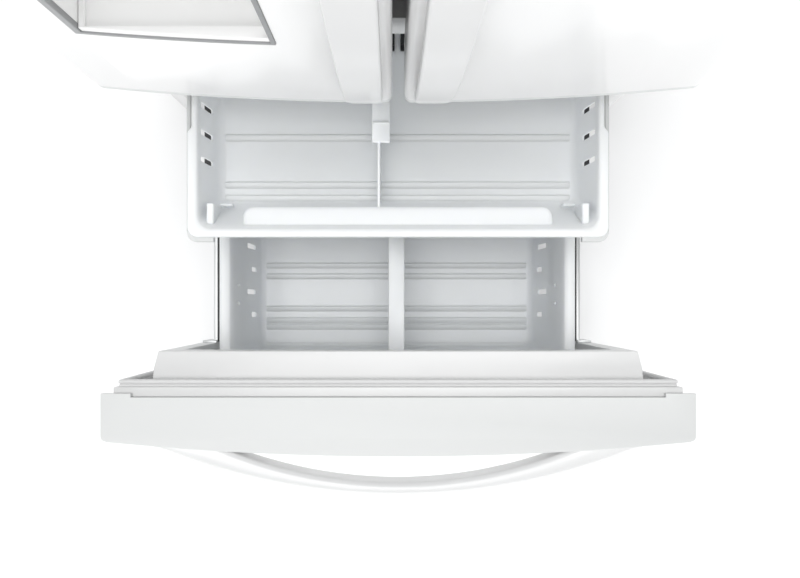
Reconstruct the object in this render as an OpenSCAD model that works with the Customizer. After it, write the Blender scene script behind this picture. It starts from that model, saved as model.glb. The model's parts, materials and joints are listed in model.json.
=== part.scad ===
// French door refrigerator with a pull-out bottom freezer.
// Working axes: x to the right, doors face -y, z up from the floor, y = 0 on the cabinet's front plane.

/* [Cabinet] */
// Depth of the cabinet without its doors
cabinet_depth = 740; // [740:1:760]
// Thickness of the painted sheet steel
sheet = 1.5; // [1:0.1:2]
// Thickness of the moulded plastic liners
liner_wall = 2.5; // [2:0.1:3]

/* [Doors] */
// How far the curved fronts stand out at the centre line
door_bulge = 117; // [112:1:122]
// Radius of the front curve that all three doors share
front_radius = 4540; // [4000:10:6000]
// Gap between the two upper doors
door_gap = 18; // [12:1:20]
// How far the upper handles bow out from the doors
handle_bow = 62; // [50:1:70]
// How far the freezer handle bows out from its door
drawer_handle_bow = 68; // [60:1:75]

/* [Pull-out] */
// How far the freezer drawer stands out
drawer_pull = 537; // [0:1:537]
// Share of the drawer's travel that the upper basket makes
basket_share = 0.68; // [0.5:0.01:0.68]

/* [Hidden] */
half_width = 454;
cabinet_top = 1737;
cabinet_bottom = 60;
shell_rear = -27;
door_rear = -12;
gasket_rear = -0.8;
upper_door_z = [700, 1742];
freezer_door_z = [95, 690];
cap = 14;
pivot = [436, -45];
pin_r = 5;
running = 0.08;
fresh_half = 405;
fresh_z = [735, 1690];
freezer_half = 392;
freezer_z = [120, 658];
step_y = 470;
step_z = 278;
basket_pull = drawer_pull * basket_share;
front_y = -door_bulge - drawer_handle_bow - drawer_pull;
frame_shift = -(front_y + cabinet_depth) / 2;
recess_x = [-374, -152];
recess_z = [1003, 1360];
fascia_z = [996, 1500];
button_x = [-330, -265, -200];
button_z = 1430;
flap_pivot = [-40, 12];
$fn = 64;
fine = 1440;

// ---- shared shapes ----

// Puts a piece drawn in the working axes into the part's own frame
module placed(pull = 0) translate([0, frame_shift - pull, 0]) children();

// Box between two corners
module block(low, high) translate(low) cube(high - low);

// The same piece on both sides of the centre plane
module both_sides() {
    children();
    mirror([1, 0, 0]) children();
}

// Flat ring of box section in the x-z plane, between y values
module frame_ring(low, high, band) difference() {
    block(low, high);
    block([low[0] + band, low[1] - 1, low[2] + band], [high[0] - band, high[1] + 1, high[2] - band]);
}

// Outline in x-y extruded between two heights
module between(z_low, z_high) translate([0, 0, z_low]) linear_extrude(z_high - z_low) children();

// Outline given as (y, z) extruded along x
module along_x(x_low, x_high) translate([x_low, 0, 0]) rotate([90, 0, 90]) linear_extrude(x_high - x_low)
    children();

// Outline given as (x, z) extruded along y
module along_y(y_low, y_high) translate([0, y_high, 0]) rotate([90, 0, 0]) linear_extrude(y_high - y_low)
    children();

// Height of the front curve at x
function curve_y(x) = front_radius - door_bulge - sqrt(front_radius * front_radius - x * x);

// Disc whose edge is the shared front curve, moved out by an amount
module front_disc(out = 0) translate([0, front_radius - door_bulge])
    circle(front_radius + out, $fn = fine);

// Waste outside a rounded vertical edge at a corner, sx and sy pointing outwards
module edge_waste(x, y, r, sx) difference() {
    translate([x + (sx < 0 ? -1 : -r), y - 1]) square([r + 1, r + 1]);
    translate([x - sx * r, y + r]) circle(r);
}

// Plan of a door from x_low to x_high, moved in by an inset, its rear at y_rear
module door_plan(x_low, x_high, edge_low, edge_high, inset = 0, y_rear = shell_rear) difference() {
    intersection() {
        translate([x_low + inset, -200]) square([x_high - x_low - 2 * inset, 200 + y_rear]);
        front_disc(-inset);
    }
    edge_waste(x_low + inset, curve_y(x_low) + inset, edge_low, -1);
    edge_waste(x_high - inset, curve_y(x_high) + inset, edge_high, 1);
}

// Plans of the left upper door and of the freezer door
module upper_plan(inset = 0, y_rear = shell_rear)
    door_plan(-half_width, -door_gap / 2, 8, 12, inset, y_rear);
module drawer_plan(inset = 0, y_rear = shell_rear)
    door_plan(-half_width, half_width, 8, 8, inset, y_rear);

// Left upper door's sheet, drawn between its caps
module upper_skin() difference() {
    between(upper_door_z[0] + cap, upper_door_z[1] - cap) upper_plan();
    between(upper_door_z[0], upper_door_z[1]) upper_plan(sheet, 1);
}

// Left upper door's two end caps with the hinge pins' bores
module upper_caps() difference() {
    for (z = [upper_door_z[0], upper_door_z[1] - cap]) between(z, z + cap) upper_plan();
    translate([-pivot[0], pivot[1], 0]) cylinder(h = 2000, r = pin_r + running);
}

// Rear plate of a door, low and high being the door's own corners in x-z, with the raised pad behind it
module liner_plate(low, high, pad_low, pad_high) {
    difference() {
        block([low[0] + sheet, shell_rear - 3, low[1] + cap], [high[0] - sheet, shell_rear, high[1] - cap]);
        block([pad_low[0] + 3, shell_rear - 4, pad_low[1] + 13], [pad_high[0] - 3, 0, pad_high[1] - 13]);
    }
    difference() {
        block([pad_low[0], shell_rear, pad_low[1]], [pad_high[0], door_rear, pad_high[1]]);
        block([pad_low[0] + 3, shell_rear - 1, pad_low[1] + 13],
              [pad_high[0] - 3, door_rear - 3, pad_high[1] - 13]);
    }
}

// Left upper door's liner: plate and pad
module upper_liner()
    liner_plate([-half_width, upper_door_z[0]], [-door_gap / 2, upper_door_z[1]], [-445, 703], [-14, 1731]);

// Raised dikes round the left upper door's bins, standing on its liner
module upper_dikes() frame_ring([-400, door_rear, 745], [-52, 45, 1680], 18);

// Left upper door's gasket
module upper_gasket() frame_ring([-440, door_rear, 706], [-18, gasket_rear, 1728], 12);

// Circle of the bow that rises sag over a half chord, its top at y_top, given as (y, z)
module bow_circle(half_chord, sag, y_top, mid) let (r = (half_chord * half_chord + sag * sag) / (2 * sag))
    translate([y_top + r, mid]) circle(r, $fn = fine);

// Left upper door's bowed handle
module upper_handle() {
    back = curve_y(-21) - 0.2;
    mid = 1221;
    top = back - handle_bow;
    intersection() {
        along_x(-79, -21) difference() {
            bow_circle(505, handle_bow, top, mid);
            bow_circle(442, handle_bow - 20, top + 20, mid);
            translate([back, 0]) square([5000, 5000]);
        }
        along_y(-400, 0) polygon(concat(
            [for (i = [-20 : 20]) let (t = i / 20) [-69 - 10 * t * t, mid + 497 * t]],
            [[-70, mid + 506], [-24, mid + 506]],
            [for (i = [20 : -1 : -20]) let (t = i / 20) [-21 - 3 * t * t, mid + 505 * t]],
            [[-24, mid - 506], [-70, mid - 506]]));
    }
}

// Open door bin between two corners
module bin(low, high, wall = 3) difference() {
    block(low, high);
    block(low + [wall, wall, wall], high + [-wall, -wall, 1]);
}

// Walled tray with sloped sides: outline in x-z and outline in y-z
module basket_body(half_floor, half_rim, y_floor, y_rim, z_low, z_high) intersection() {
    along_y(y_rim[0], y_rim[1])
        polygon([[-half_floor, z_low], [half_floor, z_low], [half_rim, z_high], [-half_rim, z_high]]);
    along_x(-half_rim, half_rim)
        polygon([[y_floor[0], z_low], [y_floor[1], z_low], [y_rim[1], z_high], [y_rim[0], z_high]]);
}

// Turning fan: hub and blades about +z
module fan(radius, depth, blades) difference() {
    union() {
        cylinder(h = depth, r = radius * 0.3);
        for (i = [0 : blades - 1]) rotate([0, 0, i * 360 / blades])
            translate([radius * 0.25, 0, depth / 2]) rotate([35, 0, 0])
                translate([0, -radius * 0.26, -1]) cube([radius * 0.72, radius * 0.52, 2]);
    }
    translate([0, 0, -1]) cylinder(h = depth + 2, r = 3 + running);
}

// Block of cross tubes held by fins, from x_low to x_high
module finned_tubes(x_low, x_high, ys, zs, fins) {
    for (y = ys, z = zs) translate([x_low, y, z]) rotate([0, 90, 0]) cylinder(h = x_high - x_low, r = 3.5);
    pitch = (x_high - x_low - 12) / (fins - 1);
    for (i = [0 : fins - 1])
        block([x_low + 5 + i * pitch, min(ys) - 10, min(zs) - 10],
              [x_low + 6.5 + i * pitch, max(ys) + 10, max(zs) + 10]);
}

// ---- cabinet ----

module cabinet_shell() color("white") placed() {
    difference() {
        block([-half_width, 0, cabinet_bottom], [half_width, cabinet_depth - 2, cabinet_top]);
        block([-half_width + sheet, -1, cabinet_bottom - 1],
              [half_width - sheet, cabinet_depth, cabinet_top - sheet]);
    }
    both_sides() block([430, 0, cabinet_bottom], [half_width - sheet, sheet, cabinet_top - sheet]);
    block([-430, 0, 1712], [430, sheet, cabinet_top - sheet]);
    block([-430, 0, cabinet_bottom], [430, sheet, 100]);
}

// Sheet that closes the cabinet's rear above the machine compartment
module back_sheet() block([-half_width, cabinet_depth - 2, 262], [half_width, cabinet_depth, cabinet_top]);

module base_frame() color("dimgray") placed() {
    difference() {
        union() {
            both_sides() difference() {
                block([420, 20, 25], [452, 730, 60]);
                block([419, 19, 28], [449, 731, 57]);
            }
            difference() {
                block([-420, 20, 25], [420, 62, 60]);
                block([-421, 23, 28], [421, 63, 57]);
            }
            both_sides() block([404, 672, 12], [420, 708, 60]);
        }
        both_sides() translate([395, 42, 0]) cylinder(h = 100, r = 5 + running);
    }
    both_sides() translate([376, 690, 24]) rotate([0, 90, 0]) cylinder(h = 44, r = 4);
    block([-370, 500, 25], [370, 730, 29]);
    both_sides() block([370, 560, 25], [420, 600, 29]);
    along_x(-450, 450) polygon([[2, 60], [495, 60], [495, 246], [738, 246], [738, 248], [493, 248],
                                [493, 62], [2, 62]]);
}

module fresh_food_liner() color("white") placed() {
    difference() {
        block([-fresh_half - liner_wall, 0, fresh_z[0] - liner_wall],
              [fresh_half + liner_wall, 685 + liner_wall, fresh_z[1] + liner_wall]);
        block([-fresh_half, -1, fresh_z[0]], [fresh_half, 685, fresh_z[1]]);
    }
    both_sides() block([fresh_half + liner_wall, 0, fresh_z[0]], [430, sheet, 1712]);
    block([-fresh_half - liner_wall, 0, fresh_z[1] + liner_wall], [fresh_half + liner_wall, sheet, 1712]);
}

module freezer_liner() color("white") placed() {
    difference() {
        along_x(-freezer_half - liner_wall, freezer_half + liner_wall)
            polygon([[0, freezer_z[0] - liner_wall], [step_y + liner_wall, freezer_z[0] - liner_wall],
                     [step_y + liner_wall, step_z - liner_wall], [680 + liner_wall, step_z - liner_wall],
                     [680 + liner_wall, freezer_z[1] + liner_wall], [0, freezer_z[1] + liner_wall]]);
        along_x(-freezer_half, freezer_half)
            polygon([[-1, freezer_z[0]], [step_y, freezer_z[0]], [step_y, step_z], [680, step_z],
                     [680, freezer_z[1]], [-1, freezer_z[1]]]);
    }
    both_sides() block([freezer_half + liner_wall, 0, 100], [430, sheet, 660]);
    block([-freezer_half - liner_wall, 0, 100],
          [freezer_half + liner_wall, sheet, freezer_z[0] - liner_wall]);
}

module center_rail() color("white") placed() difference() {
    block([-430, 0, 661], [430, 60, 732]);
    block([-431, 2, 663], [431, 61, 730]);
}

module toe_grille() color("lightgray") placed() difference() {
    block([-445, -12, 20], [445, 0, 90]);
    block([-442, -9, 19], [442, 1, 56]);
    for (z = [30 : 9 : 48]) for (x = [-390 : 130 : 390])
        block([x - 50, -13, z], [x + 50, -8, z + 4]);
}

module leveling_legs() color("dimgray") placed() both_sides() translate([395, 42, 0]) {
    cylinder(h = 10, r = 20);
    cylinder(h = 56, r = 5);
    translate([0, 0, 10]) cylinder(h = 6, r = 9);
}

module rear_rollers() color("black") placed() both_sides() translate([378, 690, 24]) rotate([0, 90, 0])
    difference() {
        cylinder(h = 22, r = 24);
        translate([0, 0, -1]) cylinder(h = 24, r = 4 + running);
    }

module compressor() translate([-255, 618, 0]) {
    for (x = [-75, 75], y = [-60, 60]) translate([x, y, 29]) cylinder(h = 12, r = 10);
    block([-90, -75, 41], [90, 75, 44]);
    translate([0, 0, 44]) cylinder(h = 110, r = 72);
    translate([0, 0, 154]) intersection() {
        translate([0, 0, -50]) sphere(r = 87.7);
        cylinder(h = 60, r = 72);
    }
    translate([60, 0, 80]) rotate([0, 90, 0]) cylinder(h = 28, r = 18);
}

module condenser_coil() {
    finned_tubes(-60, 220, [560, 590, 620, 650, 680], [60, 90, 120, 150, 180], 9);
    block([-60, 548, 29], [-56, 692, 50]);
}

// Motor of the condenser's fan with its foot and shaft
module fan_motor() {
    block([-110, 614, 29], [-104, 626, 121]);
    translate([-112, 620, 120]) rotate([0, 90, 0]) cylinder(h = 48, r = 12);
    translate([-140, 620, 120]) rotate([0, 90, 0]) cylinder(h = 30, r = 3);
}

// Compressor, condenser coil and fan motor, as separate solids
module condensing_unit() color("dimgray") placed() {
    compressor();
    condenser_coil();
    fan_motor();
}

module condenser_fan() color("black") placed() translate([-138, 620, 120]) rotate([0, 90, 0])
    fan(62, 22, 5);

// Slotted cover of the machine compartment, with holes for the cord and the water fitting
module machine_cover() difference() {
    block([-450, 732, 30], [450, 735, 246]);
    for (z = [60 : 20 : 200]) for (x = [-330 : 110 : 220]) block([x - 40, 731, z], [x + 40, 736, z + 8]);
    translate([400, 725, 150]) rotate([-90, 0, 0]) cylinder(h = 20, r = 9.2);
    translate([340, 725, 100]) rotate([-90, 0, 0]) cylinder(h = 20, r = 8);
}

// Both rear panels, as separate solids
module rear_panels() color("gainsboro") placed() {
    back_sheet();
    machine_cover();
}

module evaporator() color("silver") placed()
    finned_tubes(-220, 220, [625, 655], [350, 385, 420, 455, 490, 525], 10);

// Cover in front of the evaporator, with its fan's boss and shaft
module evaporator_cover() difference() {
    union() {
        block([-freezer_half, 600, step_z], [freezer_half, 603, freezer_z[1]]);
        both_sides() block([freezer_half - 4, 600, step_z], [freezer_half, 640, freezer_z[1]]);
        translate([0, 603, 600]) rotate([-90, 0, 0]) cylinder(h = 8, r = 12);
        translate([0, 603, 600]) rotate([-90, 0, 0]) cylinder(h = 32, r = 3);
    }
    for (x = [-150 : 20 : 150]) if (abs(x) > 20) block([x - 5, 599, 575], [x + 5, 604, 630]);
    for (x = [-300 : 40 : 300]) block([x - 12, 599, 300], [x + 12, 604, 306]);
}

module evaporator_fan() color("white") placed() translate([0, 614, 600]) rotate([-90, 0, 0])
    fan(44, 18, 5);

// Duct up the fresh food compartment's rear wall
module air_duct() difference() {
    block([-75, 660, 770], [75, 685, 1670]);
    block([-71, 664, 780], [71, 686, 1660]);
    for (z = [860 : 260 : 1640]) for (x = [-45, 0, 45]) block([x - 16, 659, z], [x + 16, 665, z + 10]);
}

// What guides the cold air in both compartments, as separate solids
module air_covers() color("white") placed() {
    evaporator_cover();
    air_duct();
}

module power_inlet() color("black") placed() translate([400, 0, 150]) difference() {
    union() {
        translate([0, 718, 0]) rotate([-90, 0, 0]) cylinder(h = 20, r = 9);
        translate([0, 714, 0]) rotate([-90, 0, 0]) cylinder(h = 4, r = 14);
        translate([0, 735, 0]) rotate([-90, 0, 0]) cylinder(h = 4, r = 13);
    }
    translate([0, 700, 0]) rotate([-90, 0, 0]) cylinder(h = 50, r = 4.5);
}

module water_valve() color("white") placed() {
    block([318, 690, 78], [362, 716, 130]);
    translate([340, 716, 100]) rotate([-90, 0, 0]) cylinder(h = 8, r = 7.5);
    translate([340, 716, 100]) rotate([-90, 0, 0]) cylinder(h = 24, r = 5.5);
    translate([340, 703, 130]) cylinder(h = 26, r = 14);
    block([330, 696, 29], [350, 710, 78]);
}

module door_hinges() color("silver") placed() both_sides() {
    block([415, 5, cabinet_top], [452, 70, 1743]);
    block([415, -62, 1743], [452, 70, 1748]);
    translate([pivot[0], pivot[1], 1730]) cylinder(h = 14, r = pin_r);
    block([415, -62, 693], [454, 0, 697]);
    block([415, -4, 682], [454, 0, 697]);
    translate([pivot[0], pivot[1], 697]) cylinder(h = 15, r = pin_r);
}

module hinge_covers() color("white") placed() both_sides() difference() {
    union() {
        block([395, -66, 1743.5], [454, 5, 1772]);
        block([395, 5, cabinet_top], [454, 90, 1772]);
    }
    block([398, -63, 1730], [453, 87, 1769]);
}

// Half-width shelves: left edge and height of each, and the full-width crisper cover
shelves = [[-400, 1100], [-400, 1385], [6, 1160], [6, 1440]];
shelf_width = 394;

module glass_shelves() color("lightcyan", 0.5) placed() {
    for (s = shelves) block([s[0] + 8, 158, s[1] + 8], [s[0] + shelf_width - 8, 612, s[1] + 12]);
    block([-392, 138, 944], [392, 612, 948]);
}

// Frame with a groove-free ledge round a glass plate
module shelf_frame(low, high) difference() {
    block(low, high);
    block(low + [14, 14, -1], high + [-14, -14, 1]);
    block(low + [8, 8, 8], high + [-8, -8, 1]);
}

module shelf_frames() color("whitesmoke") placed() {
    for (s = shelves) shelf_frame([s[0], 150, s[1]], [s[0] + shelf_width, 620, s[1] + 14]);
    shelf_frame([-400, 130, 936], [400, 620, 950]);
    both_sides() block([400, 130, 936], [fresh_half, 620, 946]);
}

// Steel arms that carry the shelves from the rear wall
module shelf_arms() for (s = shelves)
    for (x = s[0] < 0 ? [s[0] + 40, s[0] + 294] : [s[0] + 94, s[0] + 348])
        along_x(x, x + 6) polygon([[160, s[1]], [685, s[1]], [685, s[1] - 50], [660, s[1] - 50]]);

// Open-topped crisper drawer with a grip lip
module crisper(x_low, x_high) {
    bin([x_low, 130, fresh_z[0] + 0.2], [x_high, 600, 930]);
    block([x_low + 60, 122, 905], [x_high - 60, 130, 930]);
}

module left_crisper() color("white", 0.6) placed() crisper(-400, -6);
module right_crisper() color("white", 0.6) placed() crisper(6, 400);

module ceiling_light() color("white") placed() block([-130, 200, 1676], [130, 340, fresh_z[1]]);

// Fixed members of the lower and upper slides
module fixed_rails() color("silver") placed() both_sides() {
    difference() {
        block([367, 62, 286], [381, 592, 322]);
        block([366, 61, 290], [377, 593, 318]);
    }
    difference() {
        block([339, 62, 584], [352, 592, 611]);
        block([338, 61, 588], [348, 593, 607]);
    }
}

// Brackets between the fixed rails and the liner's walls
module rail_brackets() both_sides() {
    for (y = [120, 420]) block([381, y, 292], [freezer_half, y + 40, 316]);
    for (y = [120, 520]) block([352, y, 590], [freezer_half, y + 40, 606]);
}

// All steel brackets on the liners' walls, as separate solids
module wall_brackets() color("silver") placed() {
    shelf_arms();
    rail_brackets();
}

// ---- left door ----

module left_door_skin() color("white") placed() difference() {
    upper_skin();
    block([-383.2, -130, fascia_z[0] - 0.2], [-145.8, -60, fascia_z[1] + 0.2]);
}

module left_door_liner() color("white") placed() difference() {
    upper_liner();
    block([-381, -31, 990], [-146, 0, 1375]);
}

// The left dikes also carry the flap's pivot lugs
module left_door_dikes() color("white") placed() {
    upper_dikes();
    for (z = [746, 1672]) block([-56, 7, z], [-35, 17, z + 7]);
    for (z = [752, 1665]) translate([flap_pivot[0], flap_pivot[1], z]) cylinder(h = 8, r = 2.5);
}

// Insulated ice room behind the dispenser, with its service door and latch
module ice_room() color("white") placed() {
    difference() {
        block([-381.7, door_rear, 975], [-70.3, 96, 1560]);
        block([-378.3, -13, 990], [-147.7, 12, 1375]);
        block([-378, 14, 978], [-74, 93, 1557]);
    }
    block([-376, 96, 985], [-76, 100, 1550]);
    block([-100, 100, 1240], [-88, 104, 1290]);
}

module left_door_gasket() color("lightgray") placed() upper_gasket();
module left_door_caps() color("white") placed() upper_caps();
module left_handle() color("white") placed() upper_handle();

// Bezel round the recess and the control panel above it, following the door's curve
module dispenser_fascia() color("gray") placed() difference() {
    intersection() {
        block([-383, -130, fascia_z[0]], [-146, -60, fascia_z[1]]);
        between(fascia_z[0], fascia_z[1]) difference() {
            front_disc(2);
            front_disc(-6);
        }
    }
    block([recess_x[0], -140, recess_z[0]], [recess_x[1], -50, recess_z[1]]);
    for (x = button_x) block([x - 15.4, -140, button_z - 7.4], [x + 15.4, -50, button_z + 7.4]);
}

// The same ear on both sides of the paddle
module paddle_ears() {
    children();
    translate([-530, 0, 0]) mirror([1, 0, 0]) children();
}

module dispenser_housing() color("whitesmoke") placed() difference() {
    union() {
        difference() {
            intersection() {
                block([-378, -130, 999], [-148, 2, 1364]);
                between(990, 1400) front_disc(-6);
            }
            block([recess_x[0], -140, recess_z[0]], [recess_x[1], -2, recess_z[1]]);
        }
        block([-372, -72, 1364], [-156, -69, 1490]);
        translate([-265, -70, 1290]) cylinder(h = 74, r = 24);
        paddle_ears() block([-306, -40, 1318], [-302, -20, 1360]);
    }
    translate([-265, -70, 1280]) cylinder(h = 76, r = 19);
    translate([-320, -30, 1330]) rotate([0, 90, 0]) cylinder(h = 110, r = 3 + running);
}

// Button cap with a stop flange behind the fascia
module button(x) placed() {
    y = curve_y(x);
    block([x - 15, y - 3.5, button_z - 7], [x + 15, y + 10, button_z + 7]);
    block([x - 8, y + 9, button_z - 4], [x + 8, y + 13, button_z + 4]);
    block([x - 19, y + 12, button_z - 11], [x + 19, y + 14, button_z + 11]);
}

module water_button() color("gray") button(button_x[0]);
module ice_button() color("gray") button(button_x[1]);
module light_button() color("gray") button(button_x[2]);

module dispenser_paddle() color("gray") placed() {
    block([-300, -27, 1200], [-230, -23, 1326]);
    translate([-310, -30, 1330]) rotate([0, 90, 0]) cylinder(h = 90, r = 3);
    block([-300, -33, 1320], [-230, -23, 1333]);
}

module drip_tray() color("lightgray") placed() difference() {
    intersection() {
        block([recess_x[0] + 0.5, -130, 1003], [recess_x[1] - 0.5, -8, 1015]);
        between(1000, 1020) front_disc(0);
    }
    block([-366, -99, 1009], [-160, -14, 1016]);
}

module left_door_bins() color("white", 0.5) placed() {
    bin([-381.5, door_rear, 765], [-70.5, 60, 880]);
    bin([-381.5, door_rear, 1575], [-70.5, 95, 1645]);
}

module center_flap() color("whitesmoke") placed() {
    difference() {
        union() {
            block([-49, flap_pivot[1], 754], [-31, 82, 1671]);
            translate([flap_pivot[0], flap_pivot[1], 754]) cylinder(h = 917, r = 9);
        }
        for (z = [753, 1664]) translate([flap_pivot[0], flap_pivot[1], z])
            cylinder(h = 8, r = 2.5 + running);
    }
}

// ---- right door ----

module right_door_skin() color("white") placed() mirror([1, 0, 0]) upper_skin();
module right_door_liner() color("white") placed() mirror([1, 0, 0]) {
    upper_liner();
    upper_dikes();
}
module right_door_gasket() color("lightgray") placed() mirror([1, 0, 0]) upper_gasket();
module right_door_caps() color("white") placed() mirror([1, 0, 0]) upper_caps();
module right_handle() color("white") placed() mirror([1, 0, 0]) upper_handle();

module right_door_bins() color("white", 0.5) placed() {
    bin([70.5, door_rear, 765], [381.5, 60, 880]);
    for (z = [1000, 1260]) bin([70.5, door_rear, z], [381.5, 95, z + 120]);
    difference() {
        bin([70.5, door_rear, 1520], [381.5, 95, 1625]);
        translate([60, 5, 1617]) rotate([0, 90, 0]) cylinder(h = 340, r = 3 + running);
    }
}

module dairy_cover() color("white", 0.6) placed() {
    translate([66, 5, 1617]) rotate([0, 90, 0]) translate([0, 0, 5]) cylinder(h = 310, r = 3);
    block([76, 4, 1617], [376, 8, 1629]);
    block([76, 4, 1627], [376, 100, 1630]);
    block([76, 97, 1560], [376, 100, 1630]);
}

// ---- freezer drawer ----

module freezer_door_skin() color("white") placed(drawer_pull) difference() {
    between(freezer_door_z[0] + cap, freezer_door_z[1] - cap) drawer_plan();
    between(freezer_door_z[0], freezer_door_z[1]) drawer_plan(sheet, 1);
}

module freezer_door_caps() color("white") placed(drawer_pull) {
    for (z = [freezer_door_z[0], freezer_door_z[1] - cap]) between(z, z + cap) drawer_plan();
    both_sides() block([408, shell_rear - 1, 682], [half_width, -21, freezer_door_z[1]]);
}

module freezer_door_liner() color("white") placed(drawer_pull) {
    liner_plate([-half_width, freezer_door_z[0]], [half_width, freezer_door_z[1]], [-437, 99], [437, 681]);
    difference() {
        between(124, 654) polygon([[-385, door_rear], [385, door_rear], [382, 15], [375, 42],
                                   [-375, 42], [-382, 15]]);
        block([-346, -11.5, 134], [346, 43, 606]);
    }
}

module freezer_door_gasket() color("lightgray") placed(drawer_pull)
    frame_ring([-431, door_rear, 104], [431, gasket_rear, 676], 12);

module freezer_handle() color("white") placed(drawer_pull) {
    end_y = curve_y(400);
    top = -door_bulge - drawer_handle_bow;
    outer_sag = end_y - top;
    inner_top = top + 22;
    inner_sag = curve_y(300) - inner_top;
    difference() {
        between(602, 660) difference() {
            rotate(-90) mirror([1, 0]) bow_circle(400, outer_sag, top, 0);
            rotate(-90) mirror([1, 0]) bow_circle(300, inner_sag, inner_top, 0);
            translate([-1000, end_y]) square([2000, 3000]);
        }
        between(500, 700) front_disc(0.2);
    }
}

module lower_basket() color("aliceblue") placed(drawer_pull) {
    difference() {
        union() {
            basket_body(292, 318, [4, 433], [2, 435], 137, 420);
            block([-325, 2, 412], [325, 435, 420]);
        }
        basket_body(289, 315, [7, 430], [5, 432], 140, 420.5);
        block([-305, 8, 400], [305, 428, 421]);
        both_sides() {
            for (y = [136, 228, 320]) block([280, y, 200], [340, y + 10, 275]);
            for (y = [90, 182, 274]) block([280, y, 190], [340, y + 10, 236]);
        }
    }
    both_sides() for (y = [100, 360]) block([304, y, 290], [340, y + 50, 296]);
}

module basket_divider() color("whitesmoke") placed(drawer_pull) {
    block([-3, 10, 146], [1, 424, 408]);
    block([-16, 10, 408], [13, 426, 416]);
}

module drawer_frame() color("silver") placed(drawer_pull) {
    both_sides() {
        block([346, 42, 270], [372, 46, 340]);
        block([345, 46, 291], [355, 575, 317]);
        block([312, 90, 284], [345, 420, 290]);
        block([341, 90, 284], [345, 420, 310]);
    }
    translate([-350, 470, 304]) rotate([0, 90, 0]) cylinder(h = 700, r = 5);
}

module middle_rails() color("gainsboro") placed(drawer_pull / 2) both_sides() {
    block([357, 62, 293], [365, 570, 315]);
    block([365, 62, 297], [375, 570, 311]);
}

module upper_basket() color("aliceblue") placed(basket_pull) {
    difference() {
        union() {
            basket_body(313, 325, [110, 462], [58, 466], 497, 620);
            block([-338, 51, 612], [338, 224, 620]);
            block([-331, 223, 612], [331, 472, 620]);
        }
        basket_body(310, 322, [114, 458], [62, 462], 501, 620.5);
        block([-322, 65, 605], [322, 460, 621]);
        both_sides() for (y = [176, 220, 264]) block([300, y, 535], [340, y + 9, 600]);
    }
    difference() {
        block([-250, 60, 572], [250, 99, 586]);
        block([-246, 48, 560], [246, 95, 582]);
    }
}

module upper_divider() color("whitesmoke") placed(basket_pull) {
    block([-33, 100, 590], [-29, 206, 600]);
    block([-33, 120, 503], [-29, 206, 592]);
    difference() {
        block([-33, 206, 503], [-29, 452, 596]);
        block([-34, 376, 502], [-28, 431, 518]);
    }
    block([-42, 206, 596], [-13, 456, 604]);
}

module upper_rails() color("gainsboro") placed(basket_pull) both_sides() {
    block([327, 61, 597], [336, 520, 603]);
    block([327, 61, 603], [331, 470, 612]);
    block([336, 61, 590], [342, 520, 605]);
}

// ---- drawing ----

cabinet_shell();
base_frame();
fresh_food_liner();
freezer_liner();
center_rail();
toe_grille();
leveling_legs();
rear_rollers();
condenser_fan();
rear_panels();
condensing_unit();
evaporator();
evaporator_fan();
air_covers();
power_inlet();
water_valve();
door_hinges();
hinge_covers();
glass_shelves();
shelf_frames();
left_crisper();
right_crisper();
ceiling_light();
fixed_rails();
wall_brackets();
left_door_skin();
left_door_liner();
left_door_dikes();
ice_room();
left_door_gasket();
left_door_caps();
left_handle();
dispenser_fascia();
dispenser_housing();
water_button();
ice_button();
light_button();
dispenser_paddle();
drip_tray();
left_door_bins();
center_flap();
right_door_skin();
right_door_liner();
right_door_gasket();
right_door_caps();
right_handle();
right_door_bins();
dairy_cover();
freezer_door_skin();
freezer_door_liner();
freezer_door_gasket();
freezer_door_caps();
freezer_handle();
lower_basket();
basket_divider();
drawer_frame();
middle_rails();
upper_basket();
upper_divider();
upper_rails();
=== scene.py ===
import json
import logging
import math
from dataclasses import dataclass, field
from enum import Enum
from typing import Iterable, Sequence

import bmesh
import bpy
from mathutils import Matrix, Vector


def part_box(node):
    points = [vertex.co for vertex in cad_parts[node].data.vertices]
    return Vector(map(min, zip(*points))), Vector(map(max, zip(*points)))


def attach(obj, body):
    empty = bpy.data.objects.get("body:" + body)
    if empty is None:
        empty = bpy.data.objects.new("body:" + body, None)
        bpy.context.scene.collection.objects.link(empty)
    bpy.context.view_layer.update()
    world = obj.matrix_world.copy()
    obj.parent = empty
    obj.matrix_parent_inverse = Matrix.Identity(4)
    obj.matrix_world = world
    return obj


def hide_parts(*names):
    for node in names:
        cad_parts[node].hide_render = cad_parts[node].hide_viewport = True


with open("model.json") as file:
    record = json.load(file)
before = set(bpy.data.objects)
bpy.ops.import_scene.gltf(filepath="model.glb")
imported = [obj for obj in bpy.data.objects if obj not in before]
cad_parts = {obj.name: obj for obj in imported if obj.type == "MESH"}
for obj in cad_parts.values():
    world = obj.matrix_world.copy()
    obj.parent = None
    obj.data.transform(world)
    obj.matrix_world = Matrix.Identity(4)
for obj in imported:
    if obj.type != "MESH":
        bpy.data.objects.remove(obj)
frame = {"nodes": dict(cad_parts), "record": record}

LOG = logging.getLogger("refrigerator")
Point2 = tuple[float, float]
Point3 = tuple[float, float, float]
SKY_COLOR = (0.985, 0.993, 1.0, 1.0)
WELD_DISTANCE = 2e-5
FLAT_ANGLE = math.radians(0.05)


# ---------------------------------------------------------------- shader expressions


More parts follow.
